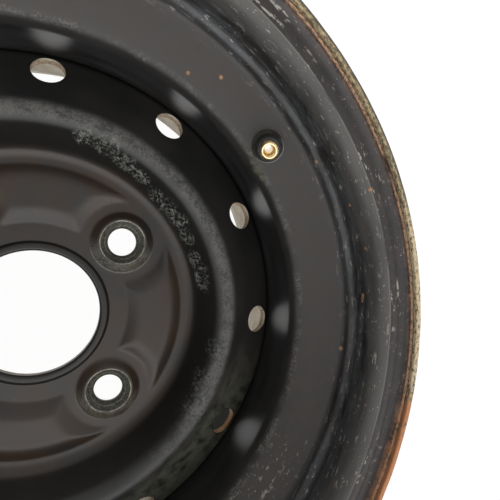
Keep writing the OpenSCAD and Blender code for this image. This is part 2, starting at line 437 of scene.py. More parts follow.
def blank(name):
    """A new material, its shader, and the wire of places on the wheel in millimetres."""
    made = bpy.data.materials.new(name)
    made.use_nodes = True
    metres = Wire(made.node_tree).node("ShaderNodeTexCoord", out="Object")
    place = metres.node("ShaderNodeVectorMath", {"operation": "SCALE"}, {0: metres, "Scale": 1 / MM})
    return made, made.node_tree.nodes["Principled BSDF"], place


# The radius, in millimetres, at which places are unrolled, so that a stretched noise
# runs round the wheel
unrolled_at = 150


def polar(place):
    """The axes of a place, its radius, and the place unrolled round the wheel."""
    x, y, z = place.axes()
    r = (x * x + y * y) ** 0.5
    round_it = unrolled_at * y.math("ARCTAN2", y, x)
    unrolled = place.node("ShaderNodeCombineXYZ", inputs={0: r, 1: round_it, 2: z})
    return x, y, z, r, unrolled


def wire_up(shader, height=None, **fields):
    """Join wires to the shader's sockets, and a height in millimetres to its normal."""
    links = shader.id_data.links
    if height:
        fields["Normal"] = height.node("ShaderNodeBump", inputs={"Distance": MM, "Height": height})
    for name, wire in fields.items():
        links.new(wire.socket, shader.inputs[name.replace("_", " ")])


# The old paint is two blacks in large blotches
deep_black = (0.0135, 0.0130, 0.0124, 1)
dull_black = (0.0215, 0.0200, 0.0185, 1)


def paint_layers(place):
    """What the old black paint shows everywhere: its colour, roughness and height."""
    blotch = place.grain(38, 4.0, 0.6)
    fine = place.grain(2.2, 3.0, 0.6)
    peel = place.grain(1.3, 1.0)
    colour = blotch.ease(0.35, 0.65).mix(deep_black, dull_black)
    roughness = 0.27 + 0.10 * blotch + 0.07 * fine
    height = 0.012 * peel + 0.02 * place.grain(9, 2.0)
    return colour, roughness, height


def dirt_grains(place):
    """The fine and the blotchy noise that break up what lies on the paint."""
    return place.grain(1.1, 4.0, 0.65), place.grain(7, 5.0, 0.65)


# Colours of what lies on the rim's paint or shows where it is gone
wall_reflection_brown = (0.0285, 0.0190, 0.0140, 1)
ledge_dust = (0.120, 0.118, 0.108, 1)
seat_grey = (0.058, 0.060, 0.064, 1)
smear_grey = (0.095, 0.098, 0.102, 1)
well_grey = (0.038, 0.038, 0.040, 1)
bend_highlight_grey = (0.105, 0.100, 0.094, 1)
worn_beige = (0.17, 0.155, 0.13, 1)
bloom_purple = (0.036, 0.026, 0.025, 1)
fleck_pale = (0.36, 0.34, 0.30, 1)
mud_tones = (0.62, 0.56, 0.46, 1), (0.80, 0.75, 0.64, 1)
rust_tones = (0.19, 0.075, 0.028, 1), (0.40, 0.26, 0.15, 1)
dirt_green = (0.10, 0.10, 0.068, 1)
scale_tones = (0.105, 0.085, 0.055, 1), (0.42, 0.32, 0.175, 1)
chalk_tones = (0.44, 0.35, 0.20, 1), (0.56, 0.45, 0.285, 1)
edge_shade_black = (0.050, 0.046, 0.034, 1)
lip_rust = (0.42, 0.175, 0.075, 1)
curl_rust = (0.42, 0.17, 0.070, 1)
stain_brown = (0.20, 0.12, 0.085, 1)
corner_rust = (0.62, 0.37, 0.22, 1)

paint, shader, place = blank("rim_paint")
x, y, z, r, unrolled = polar(place)
colour, roughness, height = paint_layers(place)
fine, mottle = dirt_grains(place)
streak = unrolled.stretched((1, 0.25, 1)).grain(9, 4.0, 0.6)
normal_x, normal_y, _ = place.node("ShaderNodeNewGeometry", out="Normal").axes()
hub_side = (x * normal_x + y * normal_y).ease(20, -20)

# A brown tint on the well's outboard wall, thicker in blotches: a painted reflection of the room's
# brown in the gloss
outboard_side = z.ease(38, 46)
tint = outboard_side * r.band(125, 145, 4) * (0.25 + 0.75 * mottle.ease(0.3, 0.7))
colour = (0.9 * tint).mix(colour, wall_reflection_brown)
edge_dust = outboard_side * r.band(124.2, 126.6, 0.9)
edge_dust = edge_dust * fine.ease(0.42, 0.6) * mottle.ease(0.42, 0.6)
colour = (0.6 * edge_dust).mix(colour, ledge_dust)
# Grey film on the bead seat, smeared round its outer half, and on the well's floor. The
# flange's bend is lighter grey, dust with a painted highlight, up to a worn line on it
seat_film = hub_side * z.band(57, 73, 3) * streak.ease(0.35, 0.62)
colour = (0.9 * seat_film).mix(colour, seat_grey)
smudge = unrolled.stretched((1, 0.2, 1)).grain(4, 5.0, 0.75).ease(0.50, 0.66)
smear = hub_side * z.band(59, 72, 2) * r.ease(145.6, 146.6) * smudge
colour = (0.75 * smear).mix(colour, smear_grey)
floor_film = hub_side * z.band(10, 41, 3) * streak.ease(0.3, 0.7)
colour = (0.6 * floor_film).mix(colour, well_grey)
# Dust and a painted highlight, lighter grey, over the flange's bend
bend_dust_and_highlight = hub_side * z.band(71.5, 85, 2.5) * r.ease(153.9, 153.1)
bend_dust_and_highlight = bend_dust_and_highlight * (0.45 + 0.55 * streak.ease(0.25, 0.7))
colour = (0.85 * bend_dust_and_highlight).mix(colour, bend_highlight_grey)
worn_line = z.ease(78, 80) * r.band(153.25, 153.7, 0.2) * streak.ease(0.35, 0.5)
colour = (0.7 * worn_line).mix(colour, worn_beige)
# The flange's curl has a thin purple-brown bloom
curl = z.ease(79, 81) * r.band(154.5, 163, 0.8)
colour = (curl * mottle.ease(0.25, 0.75)).mix(colour, bloom_purple)
# Pale specks, short flecks and hairline scratches near the flange, and at the low
# side down the well's wall too
speckled = outboard_side * r.ease(140, 150).most(y.ease(-42, -56) * r.ease(122, 128) * 0.8)
dots = (place.specks(2.4, 0.42, 0.45, 3.0) + place.specks(1.4, 0.26, 0.45, 8.0)).least(1.0)
flecks = unrolled.stretched((1, 0.3, 1)).grain(1.3, 3.0, 0.6).ease(0.60, 0.66)
flecks = flecks * mottle.ease(0.46, 0.56)
scratches = unrolled.stretched((1, 0.09, 1)).grain(1.5, 2.0, 0.5).ease(0.63, 0.68)
scratches = scratches * mottle.ease(0.50, 0.58)
pale = (dots + flecks + scratches).least(1.0) * speckled * (0.35 + 0.65 * streak.ease(0.35, 0.65))
colour = (0.9 * pale).mix(colour, fleck_pale)
roughness = (pale.most(tint * 0.4).most(bend_dust_and_highlight * 0.7)).blend(roughness, 0.6)

# Dried mud all over the drum, inside the wheel
drum = hub_side * z.ease(-13, -19)
colour = (0.93 * drum).mix(colour, mottle.ease(0.3, 0.7).mix(*mud_tones))
roughness = drum.blend(roughness, 0.6)

# Rust that broke through the paint: (radius, degrees, height, size) in mm
rust_spots = [
    (129.6, 64.5, 48.0, 1.1), (136.6, 59.2, 51.6, 1.2), (146.2, 36.2, 59.2, 1.2),
    (148.7, 26.9, 69.1, 1.0), (153.5, 28.8, 80.2, 1.4), (149.2, 18.8, 72.9, 1.1),
    (145.1, -1.3, 56.0, 1.3), (148.5, 9.9, 67.6, 1.2), (148.5, 9.3, 67.3, 1.3),
    (148.6, 8.8, 67.0, 1.0), (152.9, 3.9, 79.8, 0.9), (152.8, 3.3, 79.5, 0.9),
    (162.2, 10.1, 85.2, 1.8),
]
rust = place.near_any(rust_spots, 1.3 * (fine - 0.5))
colour = rust.mix(colour, fine.ease(0.35, 0.65).mix(*rust_tones))

# Greenish dirt caught beside the valve, given in the same way
dirt_spots = [
    (123.9, 40.5, 45.2, 3.4), (124.4, 42.4, 45.4, 2.6),
    (123.6, 38.6, 45.0, 2.4), (125.2, 45.0, 45.8, 1.8),
]
dirt = place.near_any(dirt_spots, 2.6 * (fine - 0.5)) * fine.ease(0.3, 0.55)
colour = (0.85 * dirt).mix(colour, dirt_green)

# The lip is worn bare. Its edge is dark scale under chalky gold, which turns beige on
# the right and rusty at the low side, with painted shade in black at its outer corner elsewhere.
grit = unrolled.stretched((1, 0.5, 1)).grain(0.9, 3.0, 0.7)
lip = z.ease(85.9, 86.5)
right_side = y.band(-16, 66, 14)
low_side = y.ease(-13, -23)
scale = grit.ease(0.36, 0.64).mix(*scale_tones)
chalk = (grit + 0.5 * (mottle - 0.5) + 0.15 * right_side).ease(0.50, 0.70)
scale = chalk.mix(scale, right_side.mix(*chalk_tones))
# Painted shade in black on the lip's outer corner, away from the right
scale = (0.85 * r.ease(163.0, 164.0) * (1 - right_side)).mix(scale, edge_shade_black)
scale = (low_side * (grit + mottle).ease(0.72, 0.98)).mix(scale, lip_rust)
worn = lip * (mottle + 0.4 * fine + 0.3 * right_side + 0.3 * low_side).ease(0.48, 0.62)
colour = worn.mix(colour, scale)
# Rust under the lip's low side, and along its inner corner over a brown stain
low_rust = z.ease(82.5, 84.8) * y.ease(-14, -32) * (mottle + 0.5 * fine).ease(0.60, 0.82)
colour = (0.85 * low_rust).mix(colour, curl_rust)
corner = z.band(84.7, 85.9, 0.3) * r.ease(163.0, 162.5) * streak.ease(0.28, 0.45)
corner = corner * (0.35 + 0.65 * grit.ease(0.4, 0.55))
stain = z.band(82.9, 84.9, 0.6) * r.ease(160.4, 161.4) * r.ease(163.0, 162.5)
stain = stain * (grit + mottle).ease(0.7, 1.15)
colour = (0.4 * stain).mix(colour, stain_brown)
colour = corner.mix(colour, corner_rust)
bare = rust.most(worn).most(corner).most(dirt).most(low_rust)
roughness = bare.blend(roughness, 0.75)
height = height + 0.16 * bare * fine - 0.05 * pale
wire_up(shader, height, Base_Color=colour, Roughness=roughness, Metallic=0.5 * drum)
rim.data.materials.clear()
rim.data.materials.append(paint)
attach(rim, "root")
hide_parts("rim")


# The disc is one pressing of 3.2 mm sheet: a flat face with a rounded collar round
# its bore, nut-seat bosses and stiffening pads, a steep bowl, a rounded crown, a
# cone with punched vents, and a flange that is pushed into the rim's well.
disc_sheet = 3.2 * MM
disc_r = disc_seat_r - 0.05 * MM
bore_r = 31 * MM
collar_foot_r = 35.9 * MM
collar_top_z = 4.7 * MM
face_r = 79.5 * MM
bowl_slope = math.tan(math.radians(62))
crown_z = 27 * MM
crown_r = face_r + (crown_z - disc_sheet) / bowl_slope
cone_z = 9 * MM
cone_slope = math.atan2(crown_z - cone_z, disc_r - crown_r)
disc_end_z = -9 * MM
bolt_r = 55 * MM
pad_in_r = 45 * MM
pad_out_r = 73.5 * MM
pad_clear = 21 * MM
pad_height = 3 * MM
pad_flank = 8.4 * MM
pad_corner = 2.2 * MM
vent_count = 12
vent_turn = 1.2
vent_r = disc_r - 9.1 * MM
vent_hole_r = 7.5 * MM
# Height of a boss above the face, against the distance from its bolt hole
boss_steps = np.array([
    (7.25, -0.5), (7.5, -0.16), (7.8, 0.11), (10.9, 2.88), (11.25, 3.12),
    (11.6, 3.2), (12.05, 3.17), (12.6, 2.84), (13.2, 2.38), (14, 1.72),
    (15, 0.86), (15.6, 0.4), (16.1, 0.14), (16.6, 0.03), (17.2, 0),
]) * MM
# Depth of the hollow behind a boss, against the same distance
hollow_steps = np.array([
    (7.25, 0.25), (7.6, 0), (9.6, 0), (9.75, 1.5), (11.9, 3.05),
    (12.4, 3.0), (15.2, 0.7), (16, 0.15), (17.2, 0),
]) * MM
# Depth of a vent's edge below the cone, against the distance outside its hole: rolled
# over where the punch went in, sharp where it came out
vent_front_steps = np.array([(0, 0.4), (0.12, 0.16), (0.35, 0.04), (0.8, 0)]) * MM
vent_back_steps = np.array([(0, 0), (0.6, 0)]) * MM

disc_path = [
    (disc_r, disc_end_z, 0),
    (disc_r, cone_z, 6 * MM),
    (crown_r, crown_z, 9 * MM),
    (face_r, disc_sheet, 7 * MM),
    (bore_r, disc_sheet, 0),
]
collar = [
    (collar_foot_r, disc_sheet, 0.5 * MM),
    (collar_foot_r - 1.5 * MM, collar_top_z, 2.2 * MM),
    (bore_r, collar_top_z, 1.6 * MM),
    (bore_r, 0, 0.3 * MM),
]
disc_section = rounded(
    beside(disc_path, 0)[:-1] + collar + beside(disc_path, disc_sheet)[-2::-1],
    step=7, reach=2.5 * MM,
)
# Inside and outside these radii the disc is its section turned about the axis. Between
# them each side is a sheet of triangles, where pads, bosses and vents are.
plain_in_r = 37 * MM
front_out_r = 123.6 * MM
back_out_r = 121.3 * MM
# The sheet's rings round the wheel, as (first radius, end, gap) in millimetres
wheel_rings = (37, 44, 1.3), (44, 74, 1.0), (74, 104, 0.8), (104, 119.5, 1.15), (119.5, 123.6, 0.55)
bolt_sides = 72
vent_sides = 48
# How far those rings keep from a bolt hole's centre, a vent's own rings and the edges
boss_clear = 17.7 * MM
vent_clear = 0.55 * MM
ring_clear = 0.25 * MM
edge_clear = 0.3 * MM
# The section runs from the disc's end over its front to the bore, and back behind.
# Each side's line is its height against the radius, without the flange's end.
turn_over = int(np.argmin(disc_section[:, 0]))
front_line = disc_section[:turn_over][::-1]
front_line = front_line[np.argsort(front_line[:, 0], kind="stable")]
front_line = front_line[front_line[:, 1] > disc_end_z + 2 * MM]
back_line = disc_section[turn_over:]
back_line = back_line[back_line[:, 1] > disc_end_z + 2 * MM]
round_the_disc = np.radians(np.arange(spokes) * 360 / spokes)


def eased(t):
    """A pressed flank: it leaves its foot steeply and runs out smoothly at the top."""
    t = np.clip(t, 0, 1)
    return t * (1.5 - 0.5 * t * t)


def softest(a, b, width):
    """The smaller of two distances, blended where they are within width of each other."""
    near = np.clip(width - np.abs(a - b), 0, None) / width
    return np.minimum(a, b) - near**2 * width / 4


def to_bolt(x, y):
    """Distance to the nearest bolt hole's centre."""
    q = bolt_r * math.sqrt(0.5)
    return np.hypot(np.abs(x) - q, np.abs(y) - q)


def pad_rise(x, y):
    """How far the stiffening pads, with arcs cut off them by the bosses, are pressed up."""
    r = np.hypot(x, y)
    inside = softest(r - pad_in_r, pad_out_r - r, pad_corner)
    inside = softest(inside, to_bolt(x, y) - pad_clear, pad_corner)
    return pad_height * eased(inside / pad_flank)


def outboard_z(x, y):
    """Height of the disc's outboard side."""
    r = np.hypot(x, y)
    boss = np.interp(to_bolt(x, y), boss_steps[:, 0], boss_steps[:, 1], right=0)
    return np.interp(r, front_line[:, 0], front_line[:, 1]) + pad_rise(x, y) + boss


def inboard_z(x, y):
    """Height of its inboard side, hollow behind pads and bosses."""
    r = np.hypot(x, y)
    hollow = np.interp(to_bolt(x, y), hollow_steps[:, 0], hollow_steps[:, 1], right=0)
    return np.interp(r, back_line[:, 0], back_line[:, 1]) + pad_rise(x, y) + hollow


def vent_frame(centre_r):
    """Each vent's centre, with the directions outwards and round the wheel, in plan."""
    a = np.radians(vent_turn + np.arange(vent_count) * 360 / vent_count)
    out = np.stack([np.cos(a), np.sin(a)], axis=1)
    return out * centre_r, out, np.stack([-out[:, 1], out[:, 0]], axis=1)


def to_vent(x, y, centre_r):
    """Distance to the nearest vent's centre, measured in the cone's own slope."""
    nearest = np.full(np.shape(x), 1.0)
    for centre, out, along in zip(*vent_frame(centre_r)):
        dx, dy = x - centre[0], y - centre[1]
        outwards = (dx * out[0] + dy * out[1]) / math.cos(cone_slope)
        nearest = np.minimum(nearest, np.hypot(outwards, dx * along[0] + dy * along[1]))
    return nearest


def hole_rings(holes, rings, sides, out_r):
    """Rings round each of the holes, as the points of one, how deep it is sunk, and
    whether it is the hole's own edge."""
    turns = np.arange(sides) * 2 * math.pi / sides
    for centre, out, along, squash in holes:
        for ring_r, sunk in rings:
            loop = (
                centre
                + np.outer(np.cos(turns) * ring_r * squash, out)
                + np.outer(np.sin(turns) * ring_r, along)
            )
            on_sheet = np.hypot(loop[:, 0], loop[:, 1]) < out_r - edge_clear
            yield loop[on_sheet], sunk, ring_r == rings[0][0]


def pressed_side(surface, out_r, vent_centre_r, vent_rings, bolt_rings):
    """One side of the disc between its collar and its flange, as points and triangles:
    rings round the wheel, with finer rings round each bolt hole and each vent."""
    radii = np.concatenate([np.arange(*rings) for rings in wheel_rings]) * MM
    radii = np.append(radii[radii < out_r - ring_clear], out_r)
    x = np.outer(radii, np.cos(round_the_disc)).ravel()
    y = np.outer(radii, np.sin(round_the_disc)).ravel()
    keep = to_bolt(x, y) > boss_clear
    keep &= to_vent(x, y, vent_centre_r) > vent_rings[-1][0] + vent_clear
    keep[:spokes] = keep[-spokes:] = True
    count = int(keep.sum())
    plan = [np.stack([x[keep], y[keep]], axis=1)]
    drop = [np.zeros(count)]
    bolts = [
        (np.array([math.cos(t), math.sin(t)]) * bolt_r, np.array([1, 0]), np.array([0, 1]), 1.0)
        for t in np.radians(45 + 90 * np.arange(4))
    ]
    vents = [(*place, math.cos(cone_slope)) for place in zip(*vent_frame(vent_centre_r))]
    mouths = []
    for loop, sunk, is_mouth in (
        *hole_rings(bolts, bolt_rings, bolt_sides, out_r),
        *hole_rings(vents, vent_rings, vent_sides, out_r),
    ):
        plan.append(loop)
        drop.append(np.full(len(loop), sunk))
        if is_mouth:
            mouths.append(np.arange(count, count + len(loop)))
        count += len(loop)
    wheel_count = len(plan[0])
    plan = np.concatenate(plan)
    z = surface(plan[:, 0], plan[:, 1]) - np.concatenate(drop)
    hoops = [np.arange(spokes), np.arange(wheel_count - spokes, wheel_count), *mouths]
    edges = [(int(h[i]), int(h[(i + 1) % len(h)])) for h in hoops for i in range(len(h))]
    laid_out = [Vector(p / MM) for p in plan]
    _, _, triangles, origin, _, _ = delaunay_2d_cdt(laid_out, edges, [], 0, 1e-5)
    home = np.array([o[0] for o in origin])
    triangles = home[np.array([list(t) for t in triangles])]
    x, y = plan[triangles].mean(axis=1).T
    r = np.hypot(x, y)
    solid = (r > plain_in_r) & (r < out_r)
    solid &= to_bolt(x, y) > bolt_rings[0][0] * 1.005
    solid &= to_vent(x, y, vent_centre_r) > vent_rings[0][0] * 1.001
    return np.column_stack([plan, z]), triangles[solid], mouths


def round_a_vent(steps):
    return [(vent_hole_r + d, sunk) for d, sunk in steps]


def round_a_bolt(steps, between):
    """A ring at each step of a bolt hole's profile, and at radii between, in millimetres."""
    return [(r, 0) for r in sorted([*steps[:, 0], *(d * MM for d in between)])]


front, front_faces, front_mouths = pressed_side(
    outboard_z, front_out_r, vent_r,
    round_a_vent(vent_front_steps), round_a_bolt(boss_steps, (8.8, 9.9)),
)
back, back_faces, back_mouths = pressed_side(
    inboard_z, back_out_r, vent_r - disc_sheet * math.sin(cone_slope),
    round_a_vent(vent_back_steps), round_a_bolt(hollow_steps, (8.6, 10.8, 13.3, 14.2)),
)


def ring_point(surface, r):
    """Where one side of the disc begins or ends, as a point of its section."""
    return np.array([[r, float(surface(np.array([0.0]), np.array([r]))[0])]])


# The flange's strip runs from the back sheet round the disc's end to the front one,
# and the bore's strip from the front sheet round the collar to the back one
section_r, section_z = disc_section.T
in_front = np.arange(len(disc_section)) < turn_over
on_flange = (section_r > back_out_r) & (section_z < cone_z + 8 * MM)
flange = np.concatenate([
    ring_point(inboard_z, back_out_r),
    disc_section[np.flatnonzero(~in_front & on_flange)[0] :],
    disc_section[: np.flatnonzero(in_front & (section_r > front_out_r))[-1] + 1],
    ring_point(outboard_z, front_out_r),
])
bore = np.concatenate([
    ring_point(outboard_z, plain_in_r),
    disc_section[section_r < plain_in_r - 0.05 * MM],
    ring_point(inboard_z, plain_in_r),
])
disc_points = [front, back]
disc_faces = front_faces.tolist() + (back_faces[:, ::-1] + len(front)).tolist()
so_far = len(front) + len(back)
for strip in (flange, bore):
    points, faces = turned(strip, round_the_disc, closed=False)
    disc_faces += (np.array(faces) + so_far).tolist()
    disc_points.append(points)
    so_far += len(points)
# The walls of the bolt holes and of the vents
for mouth, foot in zip(front_mouths, back_mouths):
    ahead, below = np.roll(mouth, -1), np.roll(foot, -1)
    disc_faces += np.stack([mouth, ahead, below + len(front), foot + len(front)], axis=1).tolist()
disc = skin("disc_pressing", np.concatenate(disc_points), disc_faces)

# Colours of what lies on the disc's paint or shows where it is gone
dust_and_highlight_grey = (0.120, 0.117, 0.106, 1)
face_reflection_brown = (0.0285, 0.0165, 0.0085, 1)
shade_black = (0.0040, 0.0040, 0.0032, 1)
cone_grey = (0.080, 0.080, 0.062, 1)
flake_grey = (0.215, 0.217, 0.195, 1)
dot_beige = (0.15, 0.135, 0.11, 1)
seat_tones = (0.018, 0.018, 0.014, 1), (0.088, 0.088, 0.066, 1)
grime_green = (0.105, 0.103, 0.080, 1)
foot_beige = (0.19, 0.175, 0.145, 1)
ring_bright = (0.34, 0.32, 0.26, 1)
barrel_tones = (0.34, 0.25, 0.17, 1), (0.56, 0.47, 0.36, 1)
barrel_rust = (0.40, 0.22, 0.11, 1)
crust_tones = (0.62, 0.56, 0.46, 1), (0.82, 0.77, 0.66, 1)
shadow_black = (0.012, 0.011, 0.010, 1)
line_black = (0.004, 0.0035, 0.003, 1)

paint, shader, place = blank("disc_paint")
x, y, z, r, unrolled = polar(place)
colour, roughness, height = paint_layers(place)
fine, mottle = dirt_grains(place)
normal_x, normal_y, normal_z = place.node("ShaderNodeNewGeometry", out="Normal").axes()
outboard_side = normal_z.ease(-0.2, 0.2)

# Fine grey dust over the crown, wider at the low side and strongest towards 37 degrees, with a
# painted highlight along the crown
toward = (x + 0.75 * y) / r
powder_and_highlight = outboard_side * r.band(91.5 - 3.5 * y.ease(0, -40), 98, 2.5) * toward.ease(-0.2, 0.7)
powder_and_highlight = powder_and_highlight * (fine + mottle).ease(0.82, 1.17)
colour = (0.66 * powder_and_highlight).mix(colour, dust_and_highlight_grey)
# A warm brown tint in large blotches on the face, painted for the room's brown reflected
# in its gloss, and painted shade in black on the crown's inner flank and on the collar
warm = place.grain(21, 3.0, 0.55).ease(0.32, 0.66)
warm = outboard_side * r.ease(84, 78) * (0.15 + 0.85 * warm)
colour = warm.mix(colour, face_reflection_brown)
# Painted shade: black on the crown's inner flank, on the side towards 37 degrees, and on the collar
shade = (r.band(81, 91, 1.5) * toward.ease(-0.2, 0.3)).most(r.ease(36.4, 35.6))
shade = outboard_side * shade
colour = (0.8 * shade).mix(colour, shade_black)
# Grey-green film on the low side of the cone
tint = outboard_side * r.ease(96, 106) * y.ease(0, -50) * mottle.ease(0.3, 0.6)
colour = (0.9 * tint).mix(colour, cone_grey)

# Dry flakes in patches down the crown's inner flank: (radius, degrees, height, size)
torn = unrolled.stretched((1, 0.6, 0.8))
flake = torn.grain(1.7, 4.0, 0.75).ease(0.46, 0.60)
flake = flake * (0.3 + 0.7 * torn.grain(5.5, 2.0).ease(0.35, 0.65))
flake_patches = [
    (88.0, 79.4, 19.4, 7.0), (88.0, 72.5, 19.4, 8.0), (86.1, 65.5, 15.9, 7.5),
    (85.2, 59.0, 14.5, 6.0), (84.0, 51.0, 11.5, 6.5), (84.0, 45.0, 11.8, 8.0),
    (84.5, 39.0, 13.0, 8.0), (83.8, 32.5, 12.0, 6.5), (83.6, 24.0, 11.5, 6.0),
    (84.5, 18.3, 12.9, 7.5), (84.9, 14.5, 13.6, 6.5), (89.6, -8.0, 21.0, 6.0),
    (90.0, -20.0, 21.3, 9.0), (92.0, -28.0, 22.8, 9.0),
]
patch = place.near_any(flake_patches, 0.9 * (mottle - 0.5))
flaky = outboard_side * patch * flake * (0.35 + 0.65 * y.ease(-10, 8))
colour = (0.9 * flaky).mix(colour, flake_grey)
dots = (place.specks(3.4, 0.3, 0.35, 5.0) + place.specks(1.9, 0.15, 0.25, 2.0)).least(1.0)
dots = dots * outboard_side
colour = (0.6 * dots).mix(colour, dot_beige)

# Each nut seat is worn through to grey, with broken bright lines round it and
# greenish-grey dirt caught below its boss
q = bolt_r / MM * math.sqrt(0.5)
across, up = x.size() - q, y.size() - q
to_hole = (across * across + up * up) ** 0.5
rise = y - q * y.math("SIGN", y)
gaps = mottle.ease(0.40, 0.56) * fine.ease(0.3, 0.5)
seat = to_hole.band(7.6, 11.2, 0.3) * outboard_side
colour = seat.mix(colour, fine.ease(0.35, 0.68).mix(*seat_tones))
ring = to_hole.band(11.05, 11.5, 0.2) + 0.7 * to_hole.band(8.7, 8.95, 0.15)
ring = ring * outboard_side * (0.25 + 0.75 * gaps)
grime = outboard_side * to_hole.band(11.9, 15.6, 0.9) * (rise + 8 * (mottle - 0.5)).ease(3, -7)
colour = (0.8 * grime * (fine + 0.6 * mottle).ease(0.62, 0.92)).mix(colour, grime_green)
foot = outboard_side * to_hole.band(15.9, 16.2, 0.25) * rise.ease(0, -8) * mottle.ease(0.3, 0.5)
colour = (0.7 * foot).mix(colour, foot_beige)
colour = ring.mix(colour, ring_bright)

# Each vent's punched wall carries dried mud, rusty at the low side. The places of one
# vent stand for all: out and along from its centre, then turned into the cone's slope.
turn = y.math("ARCTAN2", y, x) - math.radians(vent_turn)
pitch = 2 * math.pi / vent_count
fold = turn.math("FLOORED_MODULO", turn + pitch / 2, pitch) - pitch / 2
out = r * fold.math("COSINE", fold) - vent_r / MM
along = r * fold.math("SINE", fold)
drop = z - float(outboard_z(np.array([vent_r]), np.array([0.0]))[0]) / MM
slide = out * math.cos(cone_slope) - drop * math.sin(cone_slope)
depth = -(out * math.sin(cone_slope) + drop * math.cos(cone_slope))
to_axis = (slide * slide + along * along) ** 0.5
barrel = to_axis.ease(7.75, 7.6) * depth.ease(0.35, 0.9)
mud = fine.ease(0.35, 0.7).mix(*barrel_tones)
mud = (0.8 * y.ease(-30, -60)).mix(mud, barrel_rust)
# Behind the vents dried mud cakes the disc's back and the inside of its flange, but
# low on the right the flange's inside has a painted shadow in black instead
flange_inside = (x * normal_x + y * normal_y).ease(-60, -100) * r.ease(117, 119) * z.ease(14, 10)
inboard_side = (1 - outboard_side).most(flange_inside)
flange_shadow = flange_inside * x.ease(60, 80) * y.ease(-30, -50)
caked = inboard_side * (0.45 + 0.55 * mottle.ease(0.3, 0.55)).most(r.ease(112, 118)) * (1 - flange_shadow)
colour = (0.93 * caked).mix(colour, mottle.ease(0.3, 0.7).mix(*crust_tones))
colour = flange_shadow.mix(colour, shadow_black)
colour = barrel.mix(colour, mud)
rim_line = to_axis.band(7.5, 8.0, 0.15) * depth.ease(0.5, 0.1)
colour = (0.7 * rim_line).mix(colour, line_black)

dull = barrel.most(inboard_side * 0.9).most(grime * 0.8).most(flaky)
dull = dull.most(powder_and_highlight * 0.6).most(tint * 0.5).most(seat * 0.6)
roughness = ring.blend(dull.blend(roughness, 0.7), 0.45)
height = height + 0.08 * (grime + seat) * fine + 0.08 * barrel * fine + 0.12 * flaky
metallic = (0.4 * ring).most(0.6 * caked).most(0.9 * flange_shadow)
wire_up(shader, height, Base_Color=colour, Roughness=roughness, Metallic=metallic)
disc.data.materials.append(paint)
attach(disc, "root")
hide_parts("disc")


# The weld is eight stitches of arc weld in the corner under the disc's flange,
# each a bead of overlapping puddles that tapers off where the arc was broken.
weld_count = 8
weld_sweep = math.radians(28)
bead_r = 1.32 * MM
bead_line_r = disc_seat_r - 1.4 * MM
bead_z = disc_end_z - 1.45 * MM
bead_sides = 12
bead_rows = 250
puddle_pitch = 1.5 * MM
puddle_fall = 0.14
ripple_scale = 400.0
ripple_depth = 0.05
end_bluntness = 14
scale_brown = (0.09, 0.06, 0.045, 1)


def grow(piece, material, build, **values):
    """Run Geometry Nodes over a piece once. build gets its geometry and each value
    as wires, and returns the new geometry's wire."""
    group = bpy.data.node_groups.new(piece.name, "GeometryNodeTree")
    for way in ("OUTPUT", "INPUT"):
        group.interface.new_socket("Geometry", in_out=way, socket_type="NodeSocketGeometry")
    keys = {}
    for label, value in values.items():
        kind = "NodeSocketInt" if isinstance(value, int) else "NodeSocketFloat"
        keys[label] = group.interface.new_socket(label, in_out="INPUT", socket_type=kind).identifier
    wires = {label: Wire(group).node("NodeGroupInput", out=label) for label in values}
    shape = build(Wire(group).node("NodeGroupInput"), **wires)
    whole = shape.node("GeometryNodeRealizeInstances", inputs={0: shape})
    coated = whole.node("GeometryNodeSetMaterial", inputs={"Geometry": whole, "Material": material})
    group.links.new(coated.socket, group.nodes.new("NodeGroupOutput").inputs[0])
    growth = piece.modifiers.new(piece.name, "NODES")
    growth.node_group = group
    for label, value in values.items():
        growth[keys[label]] = value
    settle(piece)


def weld_stitches(start, count, sweep, bead, line, height, pitch):
    """Bent tubes whose radius falls over each puddle and tapers off at both ends."""
    arc = start.node("GeometryNodeCurveArc", inputs={
        "Resolution": bead_rows, "Radius": line, "Start Angle": sweep * -0.5, "Sweep Angle": sweep,
    })
    t = start.node("GeometryNodeSplineParameter")
    taper = (1 - (2 * t - 1).size() ** end_bluntness) ** 0.5
    phase = t * sweep * line / pitch
    ripple = start.node("ShaderNodeTexNoise", inputs={"Scale": ripple_scale})
    puddle = 1 - puddle_fall * (phase - phase.math("FLOOR", phase)) - ripple_depth * ripple
    shaped = arc.node("GeometryNodeSetCurveRadius", inputs={0: arc, "Radius": taper * puddle})
    profile = start.node(
        "GeometryNodeCurvePrimitiveCircle", {"mode": "RADIUS"},
        {"Resolution": bead_sides, "Radius": bead},
    )
    scaled = start.node("GeometryNodeInputRadius")
    tube = shaped.node("GeometryNodeCurveToMesh", inputs={
        "Curve": shaped, "Profile Curve": profile, "Scale": scaled, "Fill Caps": True,
    })
    points = start.node("GeometryNodePoints", inputs={"Count": count})
    step = start.node("GeometryNodeInputIndex")
    spin = start.node("ShaderNodeCombineXYZ", inputs={2: (step + 0.5) * (2 * math.pi) / count})
    stitches = points.node("GeometryNodeInstanceOnPoints", inputs={
        "Points": points, "Instance": tube, "Rotation": spin,
    })
    lift = start.node("ShaderNodeCombineXYZ", inputs={2: height})
    return stitches.node("GeometryNodeTranslateInstances", inputs={
        0: stitches, "Translation": lift, "Local Space": False,
    })


metal, shader, place = blank("weld_paint")
colour, roughness, height = paint_layers(place)
scale = place.grain(3, 4.0, 0.6)
colour = scale.ease(0.45, 0.7).mix(colour, scale_brown)
wire_up(shader, height, Base_Color=colour, Roughness=0.45 + 0.3 * scale)
weld = skin("weld_stitches", [], [])
grow(
    weld, metal, weld_stitches, count=weld_count, sweep=weld_sweep, bead=bead_r,
    line=bead_line_r, height=bead_z, pitch=puddle_pitch,
)
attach(weld, "root")
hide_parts("disc_weld")


